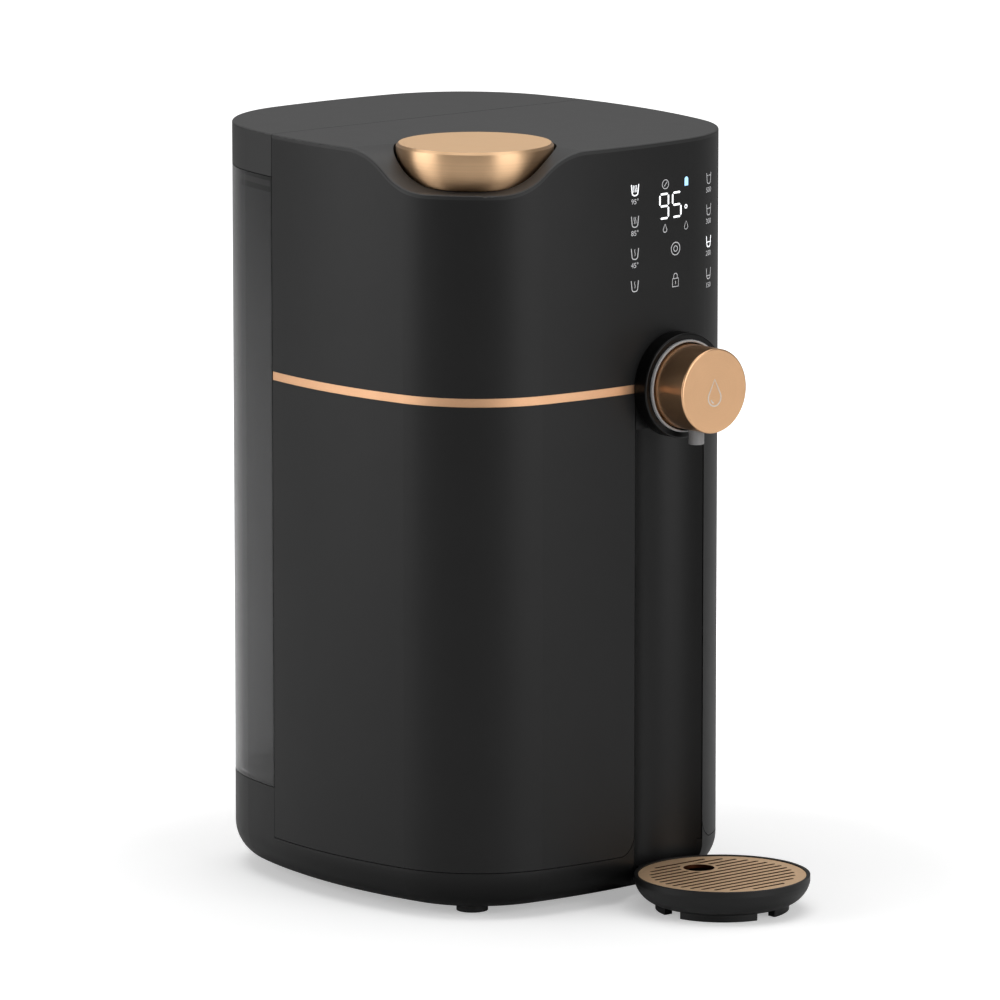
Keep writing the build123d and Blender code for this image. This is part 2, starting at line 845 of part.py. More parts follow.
# Soft nozzle below the knob
with BuildPart() as nozzle:
    add(rod(upright(knob_x, nozzle_y, nozzle_bottom), nozzle_radius, nozzle_top - nozzle_bottom,
            nozzle_bore))
    fillet(nozzle.edges().group_by(Axis.Z)[0], (nozzle_radius - nozzle_bore) / 3)
save(nozzle, "nozzle")

# Filter cap: a turned bowl with a flat top and a plug for the cartridge
with BuildPart() as filter_cap:
    with BuildSketch(Plane.XZ):
        with BuildLine():
            Line((0, cap_top), (cap_radius - cap_bevel, cap_top))
            Line((cap_radius - cap_bevel, cap_top), (cap_radius, cap_top - cap_bevel))
            Line((cap_radius, cap_top - cap_bevel), (cap_radius, body_height))
            bowl_side(0, scoop_level + play)
            Polyline(
                (cap_base_radius, scoop_level + play),
                (cap_neck_radius, scoop_level + play),
                (cap_neck_radius, filter_top + play),
                (cap_plug_radius, filter_top + play),
                (cap_plug_radius, filter_top - cap_plug_length),
                (cap_plug_radius - cap_wall, filter_top - cap_plug_length),
                (cap_plug_radius - cap_wall, cap_top - 2 * cap_wall),
                (0, cap_top - 2 * cap_wall),
                (0, cap_top),
            )
        make_face()
    revolve(axis=Axis.Z)
filter_cap.part = filter_cap.part.moved(Location((cap_x, cap_y, 0)))
save(filter_cap, "filter_cap")

# Filter cartridge with a socket for the cap and a spigot for the manifold
spigot_low = filter_bottom - filter_spigot_length
groove_shares = (0.25, 0.65)
with BuildPart() as filter_cartridge:
    add(rod(upright(cap_x, cap_y, filter_bottom), filter_radius, filter_top - filter_bottom))
    chamfer(filter_cartridge.edges().group_by(Axis.Z)[0], filter_shoulder)
    add(rod(upright(cap_x, cap_y, spigot_low), filter_spigot, filter_spigot_length))
    for share in groove_shares:
        add(rod(upright(cap_x, cap_y, spigot_low + share * filter_spigot_length),
                filter_spigot + overrun, 2 * oring, filter_spigot - oring), mode=Mode.SUBTRACT)
    add(rod(upright(cap_x, cap_y, filter_top - cap_plug_length - play), cap_plug_radius + play,
            cap_plug_length + overrun), mode=Mode.SUBTRACT)
save(filter_cartridge, "filter_cartridge")

# Two rings in the spigot's grooves
with BuildPart() as cartridge_seals:
    for share in groove_shares:
        add(rod(upright(cap_x, cap_y, spigot_low + share * filter_spigot_length + slack),
                filter_spigot + slack, 2 * oring - 2 * slack, filter_spigot - oring + slack))
save(cartridge_seals, "cartridge_seals")

# Well that the cartridge stands in
well_top = scoop_level - top_plate
with BuildPart() as filter_well:
    add(rod(upright(cap_x, cap_y, well_bottom), well_bore + well_wall, well_top - well_bottom,
            well_bore))
save(filter_well, "filter_well")

# Manifold under the well, on a column from the floor, with two hose ports
manifold_low = well_bottom - manifold_height
port_level = well_bottom - manifold_height / 2
with BuildPart() as filter_manifold:
    add(rod(upright(cap_x, cap_y, manifold_low), well_bore + well_wall, manifold_height))
    add(rod(upright(cap_x, cap_y, floor_level), manifold_column, manifold_low - floor_level))
    add(rod(sideways(cap_x + well_bore, cap_y, port_level), port_radius, port_length))
    add(rod(rearward(cap_x, cap_y + well_bore, port_level), port_radius, port_length))
    add(rod(upright(cap_x, cap_y, spigot_low - play), filter_spigot + play, manifold_height),
        mode=Mode.SUBTRACT)
    add(rod(sideways(cap_x, cap_y, port_level), port_bore, well_bore + 2 * port_length),
        mode=Mode.SUBTRACT)
    add(rod(rearward(cap_x, cap_y, port_level), port_bore, well_bore + 2 * port_length),
        mode=Mode.SUBTRACT)
save(filter_manifold, "filter_manifold")

# Rear bulkhead that closes the front compartment ahead of the tank
with BuildPart() as rear_bulkhead:
    add(slab(-body_width, body_width, seam_y - bulkhead_plate, seam_y, floor_level,
             body_height - top_plate))
    add(prism(footprint(inside_inset), deck_top - deck_thickness, body_height), mode=Mode.INTERSECT)
save(rear_bulkhead, "rear_bulkhead")

# Water tank, open at the top, with a plinth that sits in the rim of the base
tank_high = lid_low - seam
with BuildPart() as tank:
    add(prism(rear_outline(), tank_low, tank_high))
    add(prism(rear_outline(plinth_inset), plinth_low, tank_low))
    add(prism(rear_outline(tank_wall), tank_low + tank_floor, tank_high + overrun),
        mode=Mode.SUBTRACT)
    add(prism(rear_outline(plinth_inset + tank_wall), plinth_low + tank_floor, tank_high),
        mode=Mode.SUBTRACT)
    with Locations((outlet_x, outlet_y, plinth_low)):
        Cylinder(outlet_radius + slack, 4 * tank_floor, mode=Mode.SUBTRACT)
save(tank, "tank")

# Tank lid with a deep skirt and a lip that drops into the tank
with BuildPart() as tank_lid:
    add(prism(footprint(), lid_low, body_height))
    fillet(tank_lid.edges().group_by(Axis.Z)[-1], edge_round)
    add(prism(rear_outline(), lid_low, body_height), mode=Mode.INTERSECT)
    add(prism(rear_outline(shell_wall), lid_low - overrun, body_height - top_plate),
        mode=Mode.SUBTRACT)
    with BuildPart(mode=Mode.PRIVATE) as lip:
        add(prism(rear_outline(lip_inset), tank_high - lip_depth, body_height - top_plate))
        add(prism(rear_outline(lip_inset + lip_wall), 0, body_height), mode=Mode.SUBTRACT)
        groove_low = tank_high - lip_depth + seal_height
        with BuildPart(mode=Mode.PRIVATE) as groove:
            add(prism(rear_outline(), groove_low, groove_low + seal_height))
            add(prism(rear_outline(lip_inset + seal_thickness / 2), 0, body_height),
                mode=Mode.SUBTRACT)
        add(groove.part, mode=Mode.SUBTRACT)
    add(lip.part)
save(tank_lid, "tank_lid")

# Seal in the groove of the lid's lip
with BuildPart() as lid_seal:
    add(prism(rear_outline(lip_inset - play + slack), groove_low + slack,
              groove_low + seal_height - slack))
    add(prism(rear_outline(lip_inset + seal_thickness / 2 - slack), 0, body_height),
        mode=Mode.SUBTRACT)
save(lid_seal, "lid_seal")

# Outlet neck screwed into the tank's floor
inner_floor = plinth_low + tank_floor
neck_low = plinth_low - outlet_length
with BuildPart() as tank_outlet:
    add(rod(upright(outlet_x, outlet_y, inner_floor), outlet_flange, outlet_flange_height,
            outlet_bore))
    add(rod(upright(outlet_x, outlet_y, neck_low), outlet_radius, inner_floor - neck_low,
            outlet_bore))
    with BuildSketch(upright(outlet_x, outlet_y, web_level)):
        Circle(outlet_bore + slack)
        Circle(poppet_stem_radius + poppet_running, mode=Mode.SUBTRACT)
        with PolarLocations((poppet_stem_radius + outlet_bore) / 2, 4):
            Circle(web_hole, mode=Mode.SUBTRACT)
    extrude(amount=web_height)
save(tank_outlet, "tank_outlet")

# Valve that shuts the outlet when the tank is lifted off
head_low = inner_floor + outlet_flange_height + play
with BuildPart() as tank_valve:
    add(rod(upright(outlet_x, outlet_y, head_low), poppet_radius, poppet_height))
    add(rod(upright(outlet_x, outlet_y, poppet_foot_level), poppet_stem_radius,
            head_low - poppet_foot_level))
    add(rod(upright(outlet_x, outlet_y, poppet_foot_level), poppet_foot, poppet_foot_height))
save(tank_valve, "tank_valve")

# Spring that pulls the valve shut
valve_spring_low = poppet_foot_level + poppet_foot_height
valve_spring = coil(
    upright(outlet_x, outlet_y, valve_spring_low + slack), (poppet_stem_radius + poppet_foot) / 2,
    spring_wire / 2, web_level - valve_spring_low - 2 * slack, spring_turns,
)
save(valve_spring, "valve_spring")

# Dock in the deck of the base, with a pin that opens the valve
dock_low = dock_floor_level - dock_floor
with BuildPart() as tank_dock:
    add(rod(upright(outlet_x, outlet_y, dock_low), dock_radius, deck_top - dock_low))
    add(rod(upright(outlet_x, outlet_y, deck_top - 2 * deck_thickness), dock_flange, deck_thickness))
    add(rod(rearward(outlet_x, outlet_y - dock_radius - port_length, dock_floor_level + port_radius),
            port_radius, port_length + dock_radius - dock_bore))
    add(rod(upright(outlet_x, outlet_y, dock_floor_level), dock_bore, body_height),
        mode=Mode.SUBTRACT)
    add(rod(rearward(outlet_x, outlet_y - dock_radius - port_length, dock_floor_level + port_radius),
            port_bore, port_length + dock_radius), mode=Mode.SUBTRACT)
    add(rod(upright(outlet_x, outlet_y, dock_floor_level - slack), dock_pin,
            poppet_foot_level - play - dock_floor_level + slack))
save(tank_dock, "tank_dock")

# Ring seal between the dock and the outlet neck
with BuildPart() as dock_seal:
    add(rod(upright(outlet_x, outlet_y, web_level), dock_bore - slack, seal_height,
            outlet_radius + play))
save(dock_seal, "dock_seal")

# Drip tray: a turned bowl with a ledge for the grille
with BuildPart() as drip_tray:
    with BuildSketch(Plane.XZ):
        with BuildLine():
            Line((0, tray_base), (tray_base_radius, tray_base))
            ThreePointArc(
                (tray_base_radius, tray_base),
                (tray_belly_radius, tray_belly_level),
                (tray_radius, tray_top - tray_band),
            )
            Polyline(
                (tray_radius, tray_top - tray_band),
                (tray_radius, tray_top),
                (grille_radius + play, tray_top),
                (grille_radius + play, tray_top - grille_sink - grille_thickness - slack),
                (grille_radius - grille_ledge, tray_top - grille_sink - grille_thickness - slack),
            )
            ThreePointArc(
                (grille_radius - grille_ledge, tray_top - grille_sink - grille_thickness - slack),
                (tray_belly_radius - 2 * tray_wall, tray_belly_level + tray_wall),
                (tray_base_radius - 2 * tray_wall, tray_base + tray_wall),
            )
            Polyline(
                (tray_base_radius - 2 * tray_wall, tray_base + tray_wall),
                (0, tray_base + tray_wall),
                (0, tray_base),
            )
        make_face()
    revolve(axis=Axis.Z)
drip_tray.part = drip_tray.part.moved(Location((tray_x, tray_y, 0)))
save(drip_tray, "drip_tray")

# Grille with parallel slots and a drain hole under the nozzle
grille_low = tray_top - grille_sink - grille_thickness
slot_first = (slot_count - 1) / 2 * slot_pitch - slot_shift
with BuildPart() as tray_grille:
    with BuildSketch(upright(tray_x, tray_y, grille_low)):
        Circle(grille_radius)
        for index in range(slot_count):
            offset_y = slot_first - index * slot_pitch
            half = math.sqrt(max(slot_reach ** 2 - offset_y ** 2, 0))
            if half > slot_pitch:
                with Locations((0, offset_y)):
                    SlotOverall(2 * half, slot_width, mode=Mode.SUBTRACT)
        with Locations((drain_aside, drain_setback)):
            Circle(drain_radius + slot_width)
            Circle(drain_radius, mode=Mode.SUBTRACT)
    extrude(amount=grille_thickness)
save(tray_grille, "tray_grille")

# Foot ring of the tray in four lengths
with BuildPart() as tray_feet:
    with BuildSketch(upright(tray_x, tray_y, 0)):
        Circle(tray_base_radius)
        Circle(tray_base_radius - tray_foot_wall, mode=Mode.SUBTRACT)
        for angle in tray_notch_angles:
            turn = math.radians(angle)
            place = (tray_base_radius * math.cos(turn), tray_base_radius * math.sin(turn))
            with Locations(Location((place[0], place[1], 0), (0, 0, angle))):
                Rectangle(4 * tray_foot_wall, tray_notch, mode=Mode.SUBTRACT)
    extrude(amount=tray_base)
save(tray_feet, "tray_feet")

# Display module, shaped to the inside of the shell
with BuildPart() as display_module:
    add(slab(knob_x - display_half_width, knob_x + display_half_width, front_y, display_back_y,
             display_low, display_high))
    add(prism(footprint(inside_inset), display_low, display_high), mode=Mode.INTERSECT)
save(display_module, "display_module")

# Control board on the back of the display module, with its larger components
chip_shares = ((-0.5, 0.3, 0.2), (0.1, 0.7, 0.3), (0.55, 0.35, 0.16))
with BuildPart() as control_board:
    add(slab(knob_x - display_half_width + board_margin, knob_x + display_half_width - board_margin,
             display_back_y, display_back_y + board_thickness,
             display_low + board_margin, display_high - board_margin))
    for share_x, share_z, size_share in chip_shares:
        with Locations((knob_x + share_x * display_half_width,
                        display_back_y + board_thickness + board_margin / 2,
                        display_low + share_z * (display_high - display_low))):
            Box(size_share * 2 * display_half_width, board_margin, size_share * display_half_width)
save(control_board, "control_board")

# Inner frame: a plate on two legs with feet, and standoffs for the power board
power_places = [
    (x, z)
    for x in (-power_width / 2 + board_margin, power_width / 2 - board_margin)
    for z in (power_low + board_margin, power_low + power_height - board_margin)
]
with BuildPart() as inner_frame:
    add(slab(frame_left, frame_right, frame_y, frame_y + frame_plate, floor_level, frame_high))
    add(slab(frame_left + frame_leg, frame_right - frame_leg, frame_y - overrun,
             frame_y + 2 * frame_plate, frame_window_low, frame_window_high), mode=Mode.SUBTRACT)
    for x, y in frame_foot_places:
        add(slab(x - frame_leg / 2, x + frame_leg / 2, y - frame_foot / 2, y + frame_foot / 2,
                 floor_level, floor_level + frame_plate))
        add(rod(upright(x, y, floor_level), screw_radius + slack, screw_length), mode=Mode.SUBTRACT)
    for x, z in power_places:
        add(rod(rearward(x, frame_y + frame_plate, z), standoff_radius, power_standoff))
        add(rod(rearward(x, frame_y, z), screw_radius + slack, 4 * power_standoff),
            mode=Mode.SUBTRACT)
save(inner_frame, "inner_frame")

# Power board with a relay, a capacitor and a transformer
board_y = frame_y + frame_plate + power_standoff
component_shares = ((-0.22, 0.7, 0.22, 0.3), (0.25, 0.62, 0.3, 0.34), (-0.1, 0.25, 0.36, 0.2))
with BuildPart() as power_board:
    add(slab(-power_width / 2, power_width / 2, board_y, board_y + board_thickness, power_low,
             power_low + power_height))
    for share_x, share_z, width_share, tall_share in component_shares:
        with Locations((share_x * power_width, board_y + board_thickness + board_margin,
                        power_low + share_z * power_height)):
            Box(width_share * power_width, 2 * board_margin, tall_share * power_height)
    for x, z in power_places:
        add(rod(rearward(x, board_y - overrun, z), screw_radius + slack, 4 * overrun),
            mode=Mode.SUBTRACT)
save(power_board, "power_board")

# Pump: a motor lying on two soft mounts, and its head
motor_start = pump_x + pump_head_size / 2
with BuildPart() as pump_motor:
    add(rod(sideways(motor_start, pump_y, pump_level), motor_radius, motor_length))
    chamfer(pump_motor.edges().group_by(Axis.X)[-1], motor_radius / 8)
    add(rod(sideways(motor_start + motor_length, pump_y, pump_level), motor_radius / 3,
            motor_radius / 6))
save(pump_motor, "pump_motor")

head_low_z = pump_level - pump_head_size / 2
head_high_z = pump_level + pump_head_size / 2
suction_x = pump_x - pump_head_size / 2 - port_length
with BuildPart() as pump_head:
    add(slab(pump_x - pump_head_size / 2, pump_x + pump_head_size / 2, pump_y - pump_head_size / 2,
             pump_y + pump_head_size / 2, head_low_z, head_high_z))
    fillet(pump_head.edges().filter_by(Axis.X), pump_head_size / 6)
    add(rod(sideways(suction_x, pump_y, pump_level), port_radius, port_length))
    add(rod(upright(pump_x, pump_y, head_high_z), port_radius, port_length))
    add(rod(sideways(suction_x, pump_y, pump_level), port_bore, pump_x - suction_x),
        mode=Mode.SUBTRACT)
    add(rod(upright(pump_x, pump_y, pump_level), port_bore, pump_head_size), mode=Mode.SUBTRACT)
save(pump_head, "pump_head")

mount_shares = (0.2, 0.7)
with BuildPart() as pump_mounts:
    for share in mount_shares:
        start = motor_start + share * motor_length
        add(slab(start, start + mount_length, pump_y - mount_width / 2, pump_y + mount_width / 2,
                 floor_level, pump_level - motor_radius / 2))
    add(rod(sideways(motor_start, pump_y, pump_level), motor_radius + slack, motor_length),
        mode=Mode.SUBTRACT)
save(pump_mounts, "pump_mounts")

# Instant heater, upright, held by two straps
with BuildPart() as heater:
    add(rod(upright(heater_x, heater_y, heater_low), heater_radius, heater_high - heater_low))
    fillet(heater.edges().filter_by(GeomType.CIRCLE), heater_radius / 5)
    add(rod(upright(heater_x, heater_y, heater_low - heater_cap), port_radius, heater_cap))
    add(rod(upright(heater_x, heater_y, heater_high), port_radius, heater_cap))
    add(rod(upright(heater_x, heater_y, heater_low - heater_cap), port_bore,
            heater_high - heater_low + 2 * heater_cap), mode=Mode.SUBTRACT)
save(heater, "heater")

strap_outer = heater_radius + slack + bracket_wall
strap_shares = (0.1, 0.8)
with BuildPart() as heater_straps:
    for share in strap_shares:
        level = heater_low + share * (heater_high - heater_low)
        add(rod(upright(heater_x, heater_y, level), strap_outer, bracket_height))
        add(slab(heater_x - heater_radius / 2, heater_x + heater_radius / 2, heater_y, frame_y,
                 level, level + bracket_height))
    add(rod(upright(heater_x, heater_y, 0), heater_radius + slack, body_height),
        mode=Mode.SUBTRACT)
save(heater_straps, "heater_straps")

# Thermal cutout clipped to the heater's side
with BuildPart() as thermal_cutout:
    middle = (heater_low + heater_high) / 2
    add(slab(heater_x - cutout_width / 2, heater_x + cutout_width / 2,
             heater_y - heater_radius - cutout_depth, heater_y - heater_radius * 3 / 4,
             middle - cutout_height / 2, middle + cutout_height / 2))
    add(rod(upright(heater_x, heater_y, 0), heater_radius + slack, body_height),
        mode=Mode.SUBTRACT)
save(thermal_cutout, "thermal_cutout")

# Flow meter and inlet valve on the front of the frame
meter_y = frame_y - meter_radius
with BuildPart() as flow_meter:
    add(rod(upright(meter_x, meter_y, meter_low), meter_radius, meter_height))
    chamfer(flow_meter.edges().group_by(Axis.Z)[-1], meter_radius / 8)
    add(rod(upright(meter_x, meter_y, meter_low - port_length), port_radius, port_length))
    add(rod(upright(meter_x, meter_y, meter_low + meter_height), port_radius, port_length))
    add(rod(upright(meter_x, meter_y, meter_low - port_length), port_bore,
            meter_height + 2 * port_length), mode=Mode.SUBTRACT)
save(flow_meter, "flow_meter")

valve_y = frame_y - valve_depth / 2
valve_right = meter_x + valve_width / 2
with BuildPart() as inlet_valve:
    add(slab(meter_x - valve_width / 2, valve_right, frame_y - valve_depth, frame_y, valve_low,
             valve_low + valve_height))
    fillet(inlet_valve.edges().filter_by(Axis.Z), valve_depth / 8)
    add(rod(upright(meter_x, valve_y, valve_low + valve_height), coil_radius, coil_length))
    add(rod(upright(meter_x, meter_y, valve_low - port_length), port_radius, port_length))
    add(rod(sideways(valve_right, valve_y, valve_low + valve_height / 2), port_radius, port_length))
    add(rod(upright(meter_x, meter_y, valve_low - port_length), port_bore,
            port_length + valve_height / 2), mode=Mode.SUBTRACT)
save(inlet_valve, "inlet_valve")

# Hoses, each pushed up to its two ports
tight = slack
lead_lane = board_y + board_thickness / 2
dock_port = (outlet_x, outlet_y - dock_radius - port_length - tight, dock_floor_level + port_radius)
pump_inlet = (suction_x - tight, pump_y, pump_level)
dock_hose = hose(
    [dock_port, (outlet_x, pump_y, pump_level), pump_inlet],
    hose_radius, hose_bore,
)
save(dock_hose, "dock_hose")

pump_outlet = (pump_x, pump_y, head_high_z + port_length + tight)
manifold_port = (cap_x + well_bore + port_length + tight, cap_y, port_level)
over_pump = head_high_z + port_length + 5 * hose_radius
turn_x = manifold_port[0] + 3 * hose_radius
pump_hose = hose(
    [pump_outlet, (pump_x, pump_y, over_pump), (turn_x, cap_y, over_pump),
     (turn_x, cap_y, port_level), manifold_port],
    hose_radius, hose_bore,
)
save(pump_hose, "pump_hose")

filter_port = (cap_x, cap_y + well_bore + port_length + tight, port_level)
meter_inlet = (meter_x, meter_y, meter_low - port_length - tight)
below_meter = meter_low - port_length - 8 * hose_radius
filter_hose = hose(
    [filter_port, (cap_x, meter_y, port_level), (cap_x, meter_y, below_meter),
     (meter_x, meter_y, below_meter), meter_inlet],
    hose_radius, hose_bore,
)
save(filter_hose, "filter_hose")

meter_hose = hose(
    [(meter_x, meter_y, meter_low + meter_height + port_length + tight),
     (meter_x, meter_y, valve_low - port_length - tight)],
    hose_radius, hose_bore,
)
save(meter_hose, "meter_hose")

valve_port = (valve_right + port_length + tight, valve_y, valve_low + valve_height / 2)
heater_inlet = (heater_x, heater_y, heater_low - heater_cap - tight)
hose_lane = (valve_port[0] + heater_x - strap_outer) / 2
below_heater = heater_low - heater_cap - 6 * hose_radius
heater_hose = hose(
    [valve_port, (hose_lane + hose_radius, valve_y, valve_port[2]),
     (hose_lane + hose_radius, valve_y, below_heater), (heater_x, heater_y, below_heater),
     heater_inlet],
    hose_radius, hose_bore,
)
save(heater_hose, "heater_hose")

arm_end = (knob_x, nozzle_y + arm_length + tight, arm_level)
heater_outlet = (heater_x, heater_y, heater_high + heater_cap + tight)
spout_hose = hose(
    [heater_outlet, (heater_x, heater_y, arm_level + 2 * hose_radius),
     (knob_x, (heater_y + arm_end[1]) / 2, arm_level), arm_end],
    hose_radius, hose_bore,
)
save(spout_hose, "spout_hose")

# Mains inlet in the rear wall of the base
with BuildPart() as mains_inlet:
    add(slab(-inlet_width / 2, inlet_width / 2, rear_y - inlet_depth, rear_y - seam,
             inlet_level - inlet_height / 2, inlet_level + inlet_height / 2))
    flange_back = rear_y - shell_wall - 2 * seam
    add(slab(-inlet_flange_width / 2, inlet_flange_width / 2, flange_back - inlet_flange,
             flange_back, inlet_level - inlet_height / 2, inlet_level + inlet_height / 2))
    add(slab(-socket_width / 2, socket_width / 2, rear_y - socket_depth, rear_y,
             inlet_level - socket_height / 2, inlet_level + socket_height / 2), mode=Mode.SUBTRACT)
    blade_start = rear_y - socket_depth
    for x, z in ((-blade_spread, -blade_spread / 4), (blade_spread, -blade_spread / 4),
                 (0, blade_spread / 3)):
        add(slab(x - blade_thickness / 2, x + blade_thickness / 2, blade_start,
                 blade_start + blade_length, inlet_level + z - blade_width / 2,
                 inlet_level + z + blade_width / 2))
save(mains_inlet, "mains_inlet")

# Lead from the inlet up to the power board
lead_start = (0, rear_y - inlet_depth - tight, inlet_level)
lead_end = (0, lead_lane, power_low - tight)
inlet_lead = hose(
    [lead_start, (0, lead_lane, inlet_level), lead_end], lead_radius, 0,
)
save(inlet_lead, "inlet_lead")

# Screws from below through the floor into the frame's feet
base_screws = screws([upright(x, y, foot_height + screw_head_height / 2)
                      for x, y in frame_foot_places], screw_length)
save(base_screws, "base_screws")

# Screws that hold the power board
board_screws = screws(
    [Plane(origin=(x, board_y + board_thickness, z), x_dir=(1, 0, 0), z_dir=(0, -1, 0))
     for x, z in power_places], screw_length,
)
save(board_screws, "board_screws")
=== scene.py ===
import math

import bmesh
import bpy
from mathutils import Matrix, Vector


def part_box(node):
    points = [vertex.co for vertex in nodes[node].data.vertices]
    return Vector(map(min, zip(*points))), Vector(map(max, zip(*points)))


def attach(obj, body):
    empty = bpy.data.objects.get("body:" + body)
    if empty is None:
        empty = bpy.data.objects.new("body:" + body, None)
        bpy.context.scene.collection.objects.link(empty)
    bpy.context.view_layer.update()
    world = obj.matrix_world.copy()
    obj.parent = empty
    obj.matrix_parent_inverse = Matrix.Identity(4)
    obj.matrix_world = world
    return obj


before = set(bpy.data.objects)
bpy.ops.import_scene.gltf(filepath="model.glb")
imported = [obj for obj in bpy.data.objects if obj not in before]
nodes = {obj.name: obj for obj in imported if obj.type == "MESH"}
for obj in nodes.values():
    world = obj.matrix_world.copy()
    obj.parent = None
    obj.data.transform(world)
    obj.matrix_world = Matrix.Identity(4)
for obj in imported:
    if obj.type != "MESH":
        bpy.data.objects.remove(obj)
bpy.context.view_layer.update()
mm = 0.001

# Camera of the photograph, with its drop in radians and its lens and sensor in millimetres
camera_place = Vector((-2930.8, -3471.5, 1019.0)) * mm
camera_heading = Vector((0.6429, 0.7659))
camera_drop = math.radians(10.163)
camera_lens = 315.95
sensor_width = 36.0
camera_reach = 100  # metres

# Places on the object, in millimetres
knob_x = 36.8
knob_level = 272.5
cap_centre = Vector((-55.5, -25.95, 402.0))

# Touch keys on the panel, in millimetres across and up
left_column = 9.35
right_column = 68.1
key_levels = (376.6, 360.1, 343.3, 326.4)
left_labels = ("95°", "85°", "45°")
right_labels = ("500", "300", "200", "150")
left_lit_row = 0
right_lit_row = 2
label_drop = 6.1
label_height = 2.7
right_label_x = right_column - 0.3
numeral_share = 0.7  # of a numeral's height in its font size
cup_width = 5.0
cup_height = 5.5
cup_foot_share = 0.8
cup_bend_share = 0.62
cup_lean = 6  # degrees
steam_lines = (3, 2, 1, 1)
steam_points = 9
steam_half_wave = 4  # points
steam_drop = 0.9
steam_pitch = 1.05
steam_sway = 0.22
steam_step = 0.42
water_half = 2.2
water_high_share = 0.28
water_step_share = 0.16

# Display and icons between the keys, in millimetres across and up
display = "95"
digit_bars = {"9": "abcdfg", "5": "acdfg"}
digit_width = 6.3
digit_height = 12.7
digit_stroke = 1.1
digit_gap_share = 0.36
digit_level = 366.2
digit_columns = (30.4, 39.9)
degree_place = (47.0, 364.4)
degree_radius = 0.9
degree_stroke = 0.55
dial_place = (31.3, 377.6)
dial_radius = 2.35
dial_hand = ((-0.9, -1.0), (0.0, 0.0), (1.1, 1.0))
small_drop_level = 354.6
small_drop_height = 4.3
left_drop_x = 31.1
right_drop_x = 47.2
drop_radius_share = 0.31
middle_column = 39.1
rings_level = 343.1
outer_ring = 3.3
inner_ring = 1.45
lock_half = 2.3
lock_low = 323.2
lock_high = 327.4
shackle_radius = 1.4
shackle_leg = 1.3
keyhole_high = lock_high - 1.5
keyhole_low = lock_low + 1.4
lamp_x = 47.3
lamp_low = 375.3
lamp_leg = 3.3
lamp_half = 1.4

# Widths of the lines, and how far the marks stand off the surface
thin = 0.42
faint = thin * 0.8
ring_stroke = thin * 1.1
firm = thin * 1.2
bold = 0.65
decal_lift = 0.06
ray_start = -0.2  # in metres, in front of the panel

# Drop etched on the knob, in millimetres
knob_drop_level = knob_level - 0.8
knob_drop_height = 14.0
knob_drop_stroke = 0.75
glint_level = knob_level - 3.7
glint_radius = 2.5

# Finishes: the range that most noise lies in, the least upward share in the normal of a face
# that looks up or is flat, and depths of relief in metres
noise_low = 0.3
noise_high = 0.7
upward_least = 0.5
flat_least = 0.9
flat_tangent = (0.766, -0.643, 0.0)
# Painted shade that darkens the flat top of a turned part
flat_top_shade = (0.8, 0.82, 0.84, 1.0)
matt_depth = 0.00002
gloss_depth = 0.000005
brushed_depth = 0.000004
# Painted shade at the foot of the base
base_foot_shade = (0.004, 0.024, 0.2)  # two heights in metres, and the share of light left at the lower

# Sockets of a Mix node
vector_a = 4
vector_b = 5
vector_result = 1
color_a = 6
color_b = 7
color_result = 2

# Room, in metres and watts: each softbox has its place, width, height and power
lamp_target = Vector((0, 0, 0.2))
softboxes = {
    "left_softbox": ((-2.12, 1.12, 0.7), 1.7, 1.8, 29),
    "right_softbox": ((0.38, -2.37, 0.7), 1.7, 1.8, 29),
    "top_softbox": ((0.1, 0.2, 2.2), 2.2, 2.2, 24),
}
room_dim = 0.1
room_bright = 0.28
room_dim_from = -0.75
room_bright_from = 0.35
room_tilt = 0.35
floor_size = 30
floor_drop = 0.0002
floor_near = 0.22
floor_far = 0.7
floor_near_glow = 0.38
floor_far_glow = 1.0


def sock(bsdf, name, value):
    """Set one input of a shader."""
    bsdf.inputs[name].default_value = value


def srgb(red, green, blue):
    """Linear colour from sRGB values between 0 and 255."""
    def linear(value):
        value = value / 255
        return value / 12.92 if value <= 0.04045 else ((value + 0.055) / 1.055) ** 2.4
    return (linear(red), linear(green), linear(blue), 1.0)


